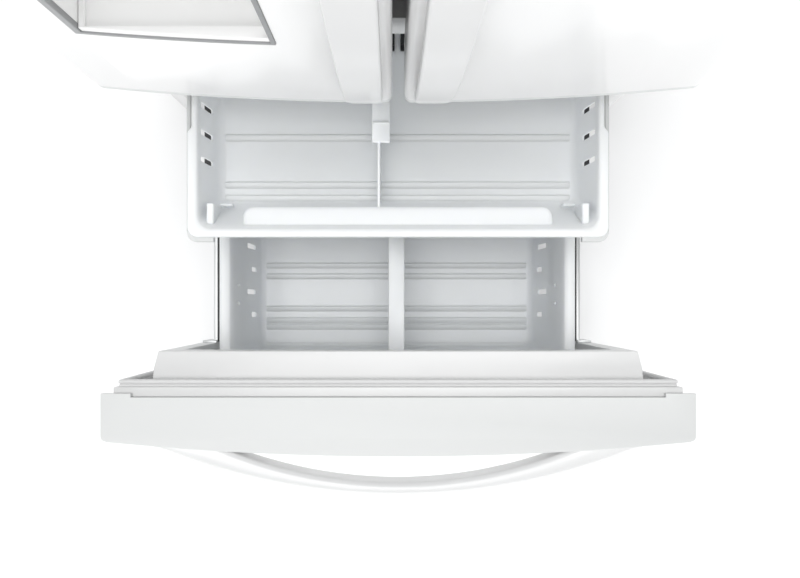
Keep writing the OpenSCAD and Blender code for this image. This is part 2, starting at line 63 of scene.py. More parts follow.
class Graph:
    """A material's node tree, to which nodes are added by type."""

    def __init__(self, material: bpy.types.Material) -> None:
        """Empty the material's tree.

        Args:
            material: The material to fill.
        """
        material.use_nodes = True
        self.tree = material.node_tree
        self.tree.nodes.clear()

    def node(self, kind: str, settings: dict | None = None, inputs: dict | None = None,
             output: str | int = 0) -> "Wire":
        """Add one node.

        Args:
            kind: The node's type, without its ShaderNode prefix.
            settings: Attributes to set first.
            inputs: Values or wires for its sockets, by name or place.
            output: The output socket that is handed back.

        Returns:
            The wire that leaves the output socket.
        """
        made = self.tree.nodes.new("ShaderNode" + kind)
        for key, value in (settings or {}).items():
            setattr(made, key, value)
        for key, value in (inputs or {}).items():
            socket = made.inputs[key]
            if isinstance(value, Wire):
                self.tree.links.new(value.socket, socket)
            else:
                socket.default_value = value
        return Wire(self, made.outputs[output] if made.outputs else None)

    def place(self) -> "Wire":
        """The point on the surface, in metres."""
        return self.node("TexCoord", output="Object")

    def noise(self, scale: float, detail: float = 3.0, at: "Wire | None" = None) -> "Wire":
        """Smooth noise of about 0 to 1."""
        return self.node("TexNoise", {"noise_dimensions": "3D"},
                         {"Vector": at or self.place(), "Scale": scale, "Detail": detail})

    def stretched(self, factors: Point3) -> "Wire":
        """The point on the surface, scaled along each axis."""
        return self.node("VectorMath", {"operation": "MULTIPLY"}, {0: self.place(), 1: factors})

    def blend(self, mask: "Wire", low: Sequence[float], high: Sequence[float]) -> "Wire":
        """A colour between two, by a mask."""
        return self.node("Mix", {"data_type": "RGBA"},
                         {0: mask, 6: (*low[:3], 1.0), 7: (*high[:3], 1.0)}, 2)


class Wire:
    """A socket that takes part in Python arithmetic, adding Math nodes as it goes."""

    def __init__(self, graph: Graph, socket: bpy.types.NodeSocket | None) -> None:
        """Keep the socket and the graph that it is in."""
        self.graph = graph
        self.socket = socket

    def _math(self, operation: str, first: "Wire | float", second: "Wire | float") -> "Wire":
        """Add one Math node."""
        return self.graph.node("Math", {"operation": operation}, {0: first, 1: second})

    def __add__(self, other: "Wire | float") -> "Wire":
        """Sum."""
        return self._math("ADD", self, other)

    __radd__ = __add__

    def __mul__(self, other: "Wire | float") -> "Wire":
        """Product."""
        return self._math("MULTIPLY", self, other)

    __rmul__ = __mul__

    def __pow__(self, other: float) -> "Wire":
        """Power."""
        return self._math("POWER", self, other)


# ---------------------------------------------------------------- finishes


class Grain(Enum):
    """What the fine surface of a finish looks like."""

    PEEL = "orange peel of sprayed enamel"
    SPARK = "fine spark texture of a moulding tool"
    SMOOTH = "polished moulding"
    BRUSHED = "brushed or rolled metal"


@dataclass(frozen=True)
class Finish:
    """One surface finish, built as a procedural material.

    Its colour darkens by four times the unevenness at most, and its roughness follows the same broad clouds.
    """

    slot: str
    color: Point3
    roughness: float
    grain: Grain = Grain.SMOOTH
    metallic: float = 0.0
    coat: float = 0.0
    clear: float = 0.0
    inner_glow: float = 0.0
    unevenness: float = 0.012
    cloud_scale: float = 2.3
    grain_scale: float = 1400.0
    grain_height: float = 0.00003
    grain_strength: float = 0.35
    coat_roughness: float = 0.08
    glow_reach: float = 0.006
    ior: float = 1.5

    def build(self) -> bpy.types.Material:
        """Make the material.

        Returns:
            The finished material, named after its slot.
        """
        material = bpy.data.materials.new(self.slot)
        graph = Graph(material)
        cloud = graph.noise(self.cloud_scale, 4.0)
        darker = tuple(c * (1.0 - 4.0 * self.unevenness) for c in self.color)
        shade = graph.blend(cloud, darker, self.color)
        fine = self._fine(graph)
        rough = self.roughness * 0.9 + 0.2 * self.roughness * cloud + 0.05 * fine
        bump = graph.node("Bump", None, {"Strength": self.grain_strength, "Distance": self.grain_height,
                                         "Height": fine})
        shader = graph.node("BsdfPrincipled", None, {
            "Base Color": shade,
            "Roughness": rough,
            "Normal": bump,
            "Metallic": self.metallic,
            "Coat Weight": self.coat,
            "Coat Roughness": self.coat_roughness,
            "Transmission Weight": self.clear,
            "Subsurface Weight": self.inner_glow,
            "Subsurface Radius": (1.0, 1.0, 1.1),
            "Subsurface Scale": self.glow_reach,
            "IOR": self.ior,
        })
        graph.node("OutputMaterial", None, {"Surface": shader})
        return material

    def _fine(self, graph: Graph) -> Wire:
        """The fine height pattern of the finish's grain."""
        if self.grain is Grain.BRUSHED:
            return graph.noise(1.0, 2.0, graph.stretched((12.0, 900.0, 900.0)))
        if self.grain is Grain.PEEL:
            return graph.noise(520.0, 1.5)
        if self.grain is Grain.SPARK:
            return graph.noise(self.grain_scale, 4.0) ** 1.5
        return graph.noise(9.0, 1.0)


FINISHES = (
    Finish("white_enamel", (0.840, 0.840, 0.838), 0.32, Grain.PEEL, coat=0.2, unevenness=0.003),
    Finish("galvanised_steel", (0.60, 0.61, 0.62), 0.42, Grain.BRUSHED, metallic=0.9, unevenness=0.04),
    Finish("black_steel", (0.035, 0.036, 0.038), 0.45, Grain.PEEL, unevenness=0.05),
    Finish("white_plastic", (0.640, 0.649, 0.645), 0.45, Grain.SPARK, unevenness=0.003),
    Finish("liner_plastic", (0.705, 0.707, 0.705), 0.34, Grain.SMOOTH, coat=0.1, unevenness=0.004),
    Finish("handle_plastic", (0.670, 0.672, 0.672), 0.30, Grain.SMOOTH, coat=0.25, unevenness=0.002),
    Finish("gray_plastic", (0.27, 0.275, 0.28), 0.38, Grain.SPARK),
    Finish("light_gray_plastic", (0.90, 0.90, 0.895), 0.36, Grain.SPARK),
    Finish("black_plastic", (0.018, 0.018, 0.020), 0.45, Grain.SPARK, unevenness=0.05),
    Finish("gasket_vinyl", (0.69, 0.69, 0.69), 0.55, Grain.SMOOTH),
    Finish("black_rubber", (0.02, 0.02, 0.02), 0.7, Grain.SPARK, unevenness=0.05),
    Finish("zinc_steel", (0.62, 0.63, 0.63), 0.38, Grain.BRUSHED, metallic=0.75, unevenness=0.03),
    Finish("aluminium_fin", (0.80, 0.81, 0.82), 0.35, Grain.BRUSHED, metallic=1.0, unevenness=0.03),
    Finish("shelf_glass", (0.90, 0.97, 0.96), 0.03, Grain.SMOOTH, clear=0.95, unevenness=0.0),
    Finish("clear_plastic", (0.90, 0.94, 0.97), 0.08, Grain.SMOOTH, clear=0.8, unevenness=0.002),
    Finish("basket_plastic", (0.915, 0.938, 0.955), 0.34, Grain.SMOOTH, inner_glow=0.5, unevenness=0.005),
    Finish("light_lens", (0.90, 0.90, 0.89), 0.35, Grain.SPARK, inner_glow=0.3),
)


class Palette:
    """All finishes, each built once and found by its slot."""

    def __init__(self, finishes: Iterable[Finish]) -> None:
        """Build every finish."""
        self.made = {finish.slot: finish.build() for finish in finishes}
        self.node_slots = {s["node"]: s["material_slot"] for s in frame["record"]["subparts"]}

    def dress(self, piece: bpy.types.Object, slot: str) -> None:
        """Give a piece one finish.

        Args:
            piece: The object to dress.
            slot: The record's material slot.
        """
        piece.data.materials.clear()
        piece.data.materials.append(self.made[slot])

    def dress_nodes(self) -> None:
        """Give every carried-over piece its slot's finish."""
        for name, node in frame["nodes"].items():
            self.dress(node, self.node_slots[name])


# ---------------------------------------------------------------- meshes


class Mold:
    """Collects points and faces, ring by ring, and makes them a mesh."""

    def __init__(self) -> None:
        """Start with nothing."""
        self.points: list[Point3] = []
        self.faces: list[list[int]] = []

    def ring(self, points: Iterable[Point3]) -> list[int]:
        """Add a ring of points and hand back their numbers."""
        start = len(self.points)
        self.points.extend(tuple(p) for p in points)
        return list(range(start, len(self.points)))

    def bridge(self, first: Sequence[int], second: Sequence[int], closed: bool = True) -> None:
        """Join two rings with quads."""
        count = len(first)
        for i in range(count if closed else count - 1):
            j = (i + 1) % count
            self.faces.append([first[i], first[j], second[j], second[i]])

    def cap(self, ring: Sequence[int]) -> None:
        """Close a ring with one face."""
        self.faces.append(list(ring))

    def tube(self, rings: Sequence[Sequence[Point3]]) -> None:
        """Loft through rings and close both ends."""
        numbered = [self.ring(r) for r in rings]
        for first, second in zip(numbered, numbered[1:]):
            self.bridge(first, second)
        self.cap(numbered[0])
        self.cap(numbered[-1])

    def loop(self, rings: Sequence[Sequence[Point3]]) -> None:
        """Loft through rings and join the last to the first."""
        numbered = [self.ring(r) for r in rings]
        for i, first in enumerate(numbered):
            self.bridge(first, numbered[(i + 1) % len(numbered)])

    def add(self, other: "Mold") -> None:
        """Take in another mold's points and faces."""
        start = len(self.points)
        self.points.extend(other.points)
        self.faces.extend([start + i for i in face] for face in other.faces)

    def slab(self, low: Point3, high: Point3) -> None:
        """Add a box between two corners."""
        outline = rounded((low[0], low[1]), (high[0], high[1]), 0.0, 1)
        self.tube([[(x, y, z) for x, y in outline] for z in (low[2], high[2])])

    def mesh(self, name: str) -> bpy.types.Mesh:
        """Make the mesh with its faces turned outwards."""
        data = bpy.data.meshes.new(name)
        data.from_pydata(self.points, [], self.faces)
        work = bmesh.new()
        work.from_mesh(data)
        bmesh.ops.recalc_face_normals(work, faces=work.faces)
        work.to_mesh(data)
        work.free()
        return data


def rounded(low: Point2, high: Point2, radius: float, steps: int = 6) -> list[Point2]:
    """Outline of a rectangle with rounded corners, anticlockwise.

    Args:
        low: Its lowest corner.
        high: Its highest corner.
        radius: Corner radius; 0 leaves sharp corners.
        steps: Stretches in each corner.

    Returns:
        The outline's points.
    """
    radius = min(radius, (high[0] - low[0]) / 2 - 1e-6, (high[1] - low[1]) / 2 - 1e-6)
    if radius <= 0:
        return [low, (high[0], low[1]), high, (low[0], high[1])]
    centres = ((high[0] - radius, high[1] - radius, 0), (low[0] + radius, high[1] - radius, 90),
               (low[0] + radius, low[1] + radius, 180), (high[0] - radius, low[1] + radius, 270))
    outline = []
    for cx, cy, start in centres:
        for i in range(steps + 1):
            angle = math.radians(start + 90 * i / steps)
            outline.append((cx + radius * math.cos(angle), cy + radius * math.sin(angle)))
    return outline


@dataclass(frozen=True)
class Box:
    """A box that a CAD node fills."""

    low: Vector
    high: Vector

    @classmethod
    def of(cls, node: str) -> "Box":
        """The box of a node."""
        return cls(*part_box(node))

    @property
    def middle(self) -> Vector:
        """Its centre."""
        return (self.low + self.high) / 2


class Workshop:
    """Turns molds into finished pieces that ride on bodies."""

    def __init__(self, palette: Palette) -> None:
        """Keep the palette and start an empty list."""
        self.palette = palette
        self.body_of = {n: b for b, ns in frame["record"]["behaviour"]["bodies"].items() for n in ns}
        self.pieces: list[bpy.types.Object] = []

    def piece(self, name: str, mold: Mold | bpy.types.Mesh, slot: str, node: str,
              hides: bool = False, bevel: float = 0.0, segments: int = 3, angle: float = 35.0,
              cuts: Sequence[Mold] = ()) -> bpy.types.Object:
        """Make one piece.

        Args:
            name: The piece's name.
            mold: Its points and faces, or a mesh.
            slot: The finish.
            node: The node whose body it rides on.
            hides: Whether it stands for that node.
            bevel: Width of its rounded edges.
            segments: Stretches across each rounded edge.
            angle: Edges sharper than this are rounded.
            cuts: Shapes that are cut out of it.

        Returns:
            The finished object.
        """
        data = mold.mesh(name) if isinstance(mold, Mold) else mold
        if cuts:
            data = carved(data, cuts)
        made = bpy.data.objects.new(name, data)
        bpy.context.scene.collection.objects.link(made)
        for polygon in data.polygons:
            polygon.use_smooth = True
        if bevel > 0:
            modifier = made.modifiers.new("edges", "BEVEL")
            modifier.width = bevel
            modifier.segments = segments
            modifier.limit_method = "ANGLE"
            modifier.angle_limit = math.radians(angle)
            modifier.harden_normals = True
        else:
            data.set_sharp_from_angle(angle=math.radians(angle))
        self.palette.dress(made, slot)
        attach(made, self.body_of[node])
        if hides:
            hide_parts(node)
        self.pieces.append(made)
        return made

    def eased(self, node: str, bevel: float, segments: int = 2, slot: str | None = None,
              merge: bool = True) -> bpy.types.Object:
        """A copy of a node's shape with its edges rounded, shown in its place.

        Args:
            node: The node to copy.
            bevel: Width of the rounded edges.
            segments: Stretches across each edge.
            slot: A finish other than the node's own.
            merge: Whether its flat faces are merged first, which suits faces without large holes.

        Returns:
            The new piece.
        """
        work = bmesh.new()
        work.from_mesh(frame["nodes"][node].data)
        bmesh.ops.remove_doubles(work, verts=work.verts, dist=WELD_DISTANCE)
        if merge:
            bmesh.ops.dissolve_limit(work, angle_limit=FLAT_ANGLE, verts=work.verts, edges=work.edges)
        data = bpy.data.meshes.new(node + "_eased")
        work.to_mesh(data)
        work.free()
        return self.piece(node + "_shown", data, slot or self.palette.node_slots[node], node, True,
                          bevel, segments, 30.0)


def carved(data: bpy.types.Mesh, cuts: Sequence[Mold]) -> bpy.types.Mesh:
    """Cut closed shapes out of a mesh.

    Args:
        data: The mesh to cut.
        cuts: The shapes to take away, which don't touch each other.

    Returns:
        What is left.
    """
    tool = Mold()
    for cut in cuts:
        tool.add(cut)
    body = bpy.data.objects.new("body", data)
    cutter = bpy.data.objects.new("cutter", tool.mesh("cutter"))
    for each in (body, cutter):
        bpy.context.scene.collection.objects.link(each)
    modifier = body.modifiers.new("cut", "BOOLEAN")
    modifier.operation = "DIFFERENCE"
    modifier.solver = "EXACT"
    modifier.object = cutter
    bpy.context.view_layer.update()
    graph = bpy.context.evaluated_depsgraph_get()
    result = bpy.data.meshes.new_from_object(body.evaluated_get(graph))
    bpy.data.objects.remove(body)
    bpy.data.objects.remove(cutter)
    return result


def swept_frame(low: Point2, high: Point2, profile: Sequence[Point2], radius: float = 0.0) -> Mold:
    """A profile swept round an upright rectangle.

    Args:
        low: The rectangle's lowest corner, as (x, z).
        high: Its highest corner.
        profile: Closed outline as (distance inwards, y).
        radius: Radius of the rectangle's own corners.

    Returns:
        The swept ring.
    """
    mold = Mold()
    rings = []
    for inwards, y in profile:
        outline = rounded((low[0] + inwards, low[1] + inwards), (high[0] - inwards, high[1] - inwards),
                          max(radius - inwards, 0.0005) if radius else 0.0, 5)
        rings.append([(x, y, z) for x, z in outline])
    mold.loop(rings)
    return mold


# ---------------------------------------------------------------- freezer baskets


@dataclass(frozen=True)
class Slot:
    """A slot through both side walls, placed from the basket's front."""

    ahead: float
    width: float
    low: float
    high: float


@dataclass
class Basket:
    """A moulded freezer basket with sloped walls, a rolled rim and slots.

    The halves are half widths: of the rim, of the opening under it and of the floor. The slopes say how far the
    front and rear walls lean in from top to floor. A rim may step in by step_in, step_at behind its front edge.
    """

    shop: Workshop
    node: str
    rim_half: float
    opening_half: float
    floor_half: float
    front_slope: float
    rear_slope: float
    slots: tuple[Slot, ...]
    ribs: tuple[float, ...]
    step_at: float = 0.0
    step_in: float = 0.0
    rim_depth: float = 0.008
    rim_sheet: float = 0.0035
    rim_fold: float = 0.0025
    wall: float = 0.003
    front_rim: float = 0.014
    rear_rim: float = 0.009
    rim_radius: float = 0.016
    wall_radius: float = 0.022
    floor_radius: float = 0.014
    floor_inset: float = 0.03
    bend_share: float = 0.97
    corner_steps: int = 6
    box: Box = field(init=False)
    floor_z: float = field(init=False)
    top_z: float = field(init=False)
    front: float = field(init=False)
    rear: float = field(init=False)

    def __post_init__(self) -> None:
        """Take the sizes that the node's box gives."""
        self.box = Box.of(self.node)
        self.floor_z = self.box.low.z + self.wall
        self.top_z = self.box.high.z
        self.front = self.box.low.y + self.front_rim
        self.rear = self.box.high.y - self.rear_rim

    def build(self) -> None:
        """Loft the basket with its slots and lay its floor ribs."""
        mold = Mold()
        inner, outer = ([mold.ring(r) for r in levels] for levels in (self._inner(), self._outer()))
        for first, second in (*zip(inner, inner[1:]), *zip(outer, outer[1:]), (outer[-1], inner[0])):
            mold.bridge(first, second)
        mold.cap(inner[-1])
        mold.cap(outer[0])
        self.shop.piece(self.node + "_molding", mold, "basket_plastic", self.node, True, angle=50,
                        cuts=[self._cutter(slot) for slot in self.slots])
        for number, ahead in enumerate(self.ribs):
            self._rib(number, self.box.low.y + ahead)

    def _inner(self) -> list[list[Point3]]:
        """Levels from the rim's outer edge over its top and down inside to the floor's middle."""
        top, height = self.top_z, self.top_z - self.floor_z
        levels = [self._rim(0.0, top - self.rim_depth), self._rim(0.0, top - 0.003),
                  self._rim(0.0012, top - 0.0006), self._rim(0.004, top),
                  self._level(0.0, top - 0.0002, 0.0025), self._level(0.0, top - 0.0025, 0.0)]
        levels += [self._level(s / 8, top - height * s / 8, 0.0) for s in range(1, 8)]
        for turn in (math.radians(18 * s) for s in range(1, 6)):
            levels.append(self._level(self.bend_share, self.floor_z + self.floor_radius * (1 - math.sin(turn)),
                                      -self.floor_radius * (1 - math.cos(turn))))
        levels.append(self._level(1.0, self.floor_z, -self.floor_inset))
        return levels

    def _outer(self) -> list[list[Point3]]:
        """Levels from under the floor's middle up outside to under the rim's edge."""
        top, height = self.top_z, self.top_z - self.floor_z
        levels = [self._level(1.0, self.box.low.z, -self.floor_inset),
                  self._level(1.0, self.box.low.z, -self.floor_radius * 0.6),
                  self._level(self.bend_share, self.box.low.z + self.floor_radius * 0.7, self.wall)]
        levels += [self._level(s / 7, top - height * s / 7, self.wall) for s in range(6, 0, -1)]
        levels.append(self._level(0.0, top - self.rim_sheet, self.wall))
        return levels + [self._rim(self.rim_fold, top - self.rim_sheet),
                         self._rim(self.rim_fold, top - self.rim_depth)]

    def _outline(self, half: float, front: float, rear: float, radius: float,
                 step: float) -> list[Point2]:
        """A rounded rectangle whose sides may step inwards towards the rear.

        Args:
            half: Half its width.
            front: Its front edge.
            rear: Its rear edge.
            radius: Its corners' radius.
            step: How far the sides step inwards.

        Returns:
            The outline's points, as many for any step.
        """
        at = self.box.low.y + self.step_at if self.step_at else (front + rear) / 2
        outline = rounded((-half, front), (half, rear), radius, self.corner_steps)
        quarter = self.corner_steps + 1
        bend = [(half - step * share, at + ahead) for share, ahead in
                ((0.0, -0.006), (0.15, -0.003), (0.85, 0.003), (1.0, 0.006))]
        rear_right = [(x - step if y > at else x, y) for x, y in outline[:quarter]]
        rear_left = [(x + step if y > at else x, y) for x, y in outline[quarter:2 * quarter]]
        left = [(-x, y) for x, y in reversed(bend)]
        return [*rear_right, *rear_left, *left, *outline[2 * quarter:], *bend]

    def _rim(self, inset: float, z: float) -> list[Point3]:
        """The rim's outline, moved inwards."""
        outline = self._outline(self.rim_half - inset, self.box.low.y + inset, self.box.high.y - inset,
                                self.rim_radius - inset, self.step_in)
        return [(x, y, z) for x, y in outline]

    def _level(self, share: float, z: float, out: float) -> list[Point3]:
        """One level of the wall.

        Args:
            share: 0 at the rim and 1 at the floor.
            z: Height.
            out: Distance outside the inner surface.

        Returns:
            The level's points.
        """
        half = self.opening_half + (self.floor_half - self.opening_half) * share + out
        outline = self._outline(half, self.front + self.front_slope * share - out,
                                self.rear - self.rear_slope * share + out,
                                max(self.wall_radius + out, 0.002), 0.0)
        return [(x, y, z) for x, y in outline]

    def _cutter(self, slot: Slot) -> Mold:
        """The shape that cuts a slot through both side walls."""
        mold = Mold()
        y = self.box.low.y + slot.ahead
        outline = rounded((y, slot.low), (y + slot.width, slot.high), slot.width * 0.3, 3)
        for side in (-1, 1):
            reach = sorted((side * (self.floor_half - 0.012), side * (self.rim_half + 0.02)))
            mold.tube([[(x, a, b) for a, b in outline] for x in reach])
        return mold

    def _rib(self, number: int, y: float) -> None:
        """One low soft rib across the floor."""
        mold = Mold()
        half = self.floor_half - self.floor_radius * 0.8
        profile = [(y - 0.009, self.floor_z - 0.0005), (y - 0.003, self.floor_z + 0.0018),
                   (y + 0.003, self.floor_z + 0.0018), (y + 0.005, self.floor_z - 0.0005)]
        mold.tube([[(x, a, b) for a, b in profile] for x in (-half, half)])
        self.shop.piece(f"{self.node}_rib_{number}", mold, "basket_plastic", self.node, bevel=0.0015)


@dataclass
class FreezerBaskets:
    """Both baskets with what is fixed to them, and their dividers."""

    shop: Workshop
    grip_half: float = 0.252
    grip_reach: float = 0.052
    grip_radius: float = 0.019
    grip_drop: float = 0.018
    ridge_behind: float = 0.221
    cap_ahead: float = 0.007
    cap_radius: float = 0.016

    def build(self) -> None:
        """Make both baskets, the grip, the corner clips and the dividers."""
        upper = Box.of("upper_basket")
        Basket(self.shop, "upper_basket", rim_half=0.338, opening_half=0.322, floor_half=0.310,
               front_slope=0.050, rear_slope=0.004,
               slots=tuple(Slot(a, 0.009, 0.535, 0.600) for a in (0.125, 0.169, 0.213)),
               ribs=(0.078, 0.101, 0.183), step_at=0.173, step_in=0.007).build()
        long = [Slot(a, 0.010, 0.200, 0.275) for a in (0.134, 0.226, 0.318)]
        short = [Slot(a, 0.010, 0.190, 0.236) for a in (0.088, 0.180, 0.272)]
        small = [Slot(a, 0.006, 0.344, 0.360) for a in (0.113, 0.147)]
        Basket(self.shop, "lower_basket", rim_half=0.325, opening_half=0.305, floor_half=0.289,
               front_slope=0.003, rear_slope=0.004,
               slots=(*long, *short, *small), ribs=(0.027, 0.067, 0.081, 0.106, 0.175, 0.198)).build()
        self._grip(upper)
        self._corner_clips(upper)
        self.shop.eased("basket_divider", 0.0015, 3, "basket_plastic")
        self.shop.eased("upper_divider", 0.0012, 3, "basket_plastic")
        self.shop.eased("upper_rails", 0.0008, 2, "white_plastic")
        self._divider_ridge()
        self._rail_stops_and_shade_strips()
        self._rod_clips(upper)
        self._runner_caps(upper)
        LOG.info("freezer baskets")

    def _grip(self, box: Box) -> None:
        """The pill-shaped finger grip inside the upper basket's front wall."""
        mold = Mold()
        low, high = box.low.y + 0.004, box.low.y + self.grip_reach
        top = box.high.z - self.grip_drop
        levels = ((0.0, top - 0.040), (0.0, top - 0.006), (0.001, top - 0.003), (0.0035, top - 0.001),
                  (0.008, top))
        mold.tube([[(x, y, z) for x, y in rounded((-self.grip_half + inset, low + inset),
                                                  (self.grip_half - inset, high - inset),
                                                  self.grip_radius - inset, 8)]
                   for inset, z in levels])
        self.shop.piece("upper_basket_grip", mold, "basket_plastic", "upper_basket", angle=40)

    def _divider_ridge(self) -> None:
        """The low ridge across the upper divider's cap."""
        box = Box.of("upper_divider")
        y = box.high.y - self.ridge_behind
        mold = Mold()
        mold.slab((box.low.x + 0.001, y, box.high.z - 0.002),
                  (box.high.x - 0.001, y + 0.004, box.high.z + 0.0025))
        self.shop.piece("upper_divider_ridge", mold, "basket_plastic", "upper_divider", bevel=0.001)

    def _rail_stops_and_shade_strips(self) -> None:
        """Small black stops where the drawer's rails meet its door, each with a thin black strip of painted
        shade along the rail's inner side.
        """
        rails = Box.of("drawer_frame")
        for name, side in (("left", -1), ("right", 1)):
            # A thin black strip along the rail's inner side: painted shade for the dark line beside the rail,
            # not a real part.
            x_low, x_high = sorted((side * 0.3415, side * 0.3445))
            mold = Mold()
            mold.slab((x_low, rails.low.y + 0.004, rails.high.z - 0.014),
                      (x_high, rails.high.y - 0.030, rails.high.z - 0.002))
            # A small black stop at the rail's front end.
            x_low, x_high = sorted((side * 0.329, side * 0.344))
            mold.slab((x_low, rails.low.y + 0.003, rails.high.z - 0.016),
                      (x_high, rails.low.y + 0.009, rails.high.z - 0.004))
            self.shop.piece(f"rail_stop_and_shade_strip_{name}", mold, "black_plastic", "drawer_frame", bevel=0.0006)

    def _rod_clips(self, box: Box) -> None:
        """Black clips on the upper basket's floor that hold its rear cross rod."""
        for name, side in (("left", -1), ("right", 1)):
            mold = Mold()
            for reach, ahead, behind, foot, head in ((0.018, 0.331, 0.374, 0.004, 0.010),
                                                     (0.014, 0.339, 0.363, 0.010, 0.018)):
                x_low, x_high = sorted((side * 0.005, side * reach))
                mold.slab((x_low, box.low.y + ahead, box.low.z + foot),
                          (x_high, box.low.y + behind, box.low.z + head))
            self.shop.piece(f"rod_clip_{name}", mold, "black_plastic", "upper_basket", bevel=0.0008)

    def _runner_caps(self, box: Box) -> None:
        """Rounded white ends of the upper basket's runners."""
        front, rear = box.low.y - self.cap_ahead, box.low.y + 0.010
        arc = [math.radians(-90 + 90 * i / 8) for i in range(9)]
        for name, side in (("left", -1), ("right", 1)):
            outline = [(side * 0.297, rear), (side * 0.297, front)]
            outline += [(side * (0.324 + self.cap_radius * math.cos(a)),
                         front + self.cap_radius * (1 + math.sin(a))) for a in arc]
            outline.append((side * 0.340, rear))
            mold = Mold()
            mold.tube([[(x, y, z) for x, y in outline] for z in (box.high.z - 0.020, box.high.z - 0.008)])
            self.shop.piece(f"runner_cap_{name}", mold, "white_plastic", "upper_basket", bevel=0.002)

    def _corner_clips(self, box: Box) -> None:
        """Stepped clips in both front corners of the upper basket."""
        for name, side in (("left", -1), ("right", 1)):
            mold = Mold()
            for x_in, x_out, ahead, behind, z_low, z_high in (
                    (0.299, 0.311, 0.022, 0.057, 0.540, 0.602), (0.279, 0.301, 0.058, 0.064, 0.520, 0.541)):
                x_low, x_high = sorted((side * x_in, side * x_out))
                mold.slab((x_low, box.low.y + ahead, z_low), (x_high, box.low.y + behind, z_high))
            self.shop.piece(f"upper_basket_clip_{name}", mold, "basket_plastic", "upper_basket",
                            bevel=0.003, segments=4)


# ---------------------------------------------------------------- handles


@dataclass
class BowHandle:
    """A bowed handle that grows out of a door and returns to it.

    end_inner is the part of its length over which its rear surface stands clear of the door. edge rounds the
    sides of an upright handle, long_edge those of a level one, and corner its ends seen from the front.
    """

    shop: Workshop
    node: str
    upright: bool
    thickness: float
    end_inner: float
    end_depth: float = 0.005
    stations: int = 64
    edge: float = 0.0035
    long_edge: float = 0.009
    corner: float = 0.014
    near_lean: float = 0.003
    far_lean: float = 0.010

    def build(self) -> None:
        """Loft the handle through rounded sections."""
        box = Box.of(self.node)
        rise = box.high.y - box.low.y
        along = 2 if self.upright else 0
        middle, half = (box.low[along] + box.high[along]) / 2, (box.high[along] - box.low[along]) / 2
        outer_r = (half * half + rise * rise) / (2 * rise)
        inner_rise = rise - self.thickness
        inner_half = half * self.end_inner
        inner_r = (inner_half ** 2 + inner_rise ** 2) / (2 * inner_rise)
        rings = []
        for i in range(self.stations + 1):
            place = -math.cos(math.pi * i / self.stations)
            t = place * (half - 0.0004)
            outer = box.low.y + outer_r - math.sqrt(outer_r ** 2 - t * t)
            inner = box.low.y + self.thickness + inner_r - math.sqrt(max(inner_r ** 2 - t * t, 0.0))
            back = min(inner, box.high.y)
            outer = min(outer, back - self.end_depth)
            rings.append(self._section(box, middle + t, half - abs(t), outer, back))
        mold = Mold()
        mold.tube(rings)
        self.shop.piece(self.node + "_bow", mold, "handle_plastic", self.node, True, angle=60)
        LOG.info("%s", self.node)

    def _section(self, box: Box, at: float, from_end: float, outer: float, back: float) -> list[Point3]:
        """The handle's rounded outline at one station.

        Args:
            box: The handle's box.
            at: The station's place along the handle.
            from_end: Its distance from the nearer end.
            outer: The front surface there.
            back: The rear surface there.

        Returns:
            The outline's points.
        """
        widest = (back - outer) * 0.48
        if not self.upright:
            return [(at, y, z) for y, z in rounded((outer, box.low.z), (back, box.high.z),
                                                   min(self.long_edge, widest))]
        lost = 0.0
        if from_end < self.corner:
            lost = self.corner - math.sqrt(self.corner ** 2 - (self.corner - from_end) ** 2)
        side = -1 if box.middle.x < 0 else 1
        half = (box.high.z - box.low.z) / 2
        share = 1 - from_end / half
        near, far = min(abs(box.low.x), abs(box.high.x)), max(abs(box.low.x), abs(box.high.x))
        near_edge = near + self.near_lean * share ** 2 + 0.3 * lost
        far_edge = far - self.far_lean * (1 - share ** 2) - lost
        x_low, x_high = sorted((side * near_edge, side * far_edge))
        return [(x, y, at) for x, y in rounded((x_low, outer), (x_high, back),
                                               min(self.edge, widest))]


# ---------------------------------------------------------------- doors


@dataclass
class Doors:
    """Skins, caps, liners and gaskets of the three doors."""

    shop: Workshop
    skin_edge: float = 0.0012
    cap_edge: float = 0.003
    ring_edge: float = 0.006
    gasket_band: float = 0.012

    def build(self) -> None:
        """Dress every door, and round the raised ring of the freezer door's liner more than the rest."""
        for side in ("left_door", "right_door", "freezer_door"):
            self.shop.eased(side + "_skin", self.skin_edge)
            self.shop.eased(side + "_caps", self.cap_edge, 4)
            self._gasket(side + "_gasket")
            LOG.info("%s", side)
        for side in ("left_door", "right_door"):
            self.shop.eased(side + "_liner", self.skin_edge, merge=False)
        self.shop.eased("left_door_dikes", self.skin_edge)
        self.shop.eased("left_door_bins", 0.0012)
        self.shop.eased("right_door_bins", 0.0012)
        self.shop.eased("dairy_cover", 0.0015)
        self.shop.eased("center_flap", 0.003, 3)
        self.shop.eased("freezer_door_liner", self.ring_edge, 4)

    def _gasket(self, node: str) -> None:
        """A bellows gasket round a door's rear."""
        box = Box.of(node)
        depth = box.high.y - box.low.y
        y = box.low.y
        band = self.gasket_band
        profile = [(0.001, y), (0.001, y + depth * 0.30), (0.0025, y + depth * 0.38), (0.0, y + depth * 0.55),
                   (0.0, y + depth * 0.85), (0.002, y + depth), (band - 0.002, y + depth),
                   (band, y + depth * 0.85), (band, y + depth * 0.6), (band - 0.003, y + depth * 0.4),
                   (band - 0.001, y + depth * 0.3), (band - 0.001, y)]
        mold = swept_frame((box.low.x, box.low.z), (box.high.x, box.high.z), profile)
        self.shop.piece(node + "_bellows", mold, "gasket_vinyl", node, True, bevel=0.0008, segments=2)


# ---------------------------------------------------------------- dispenser


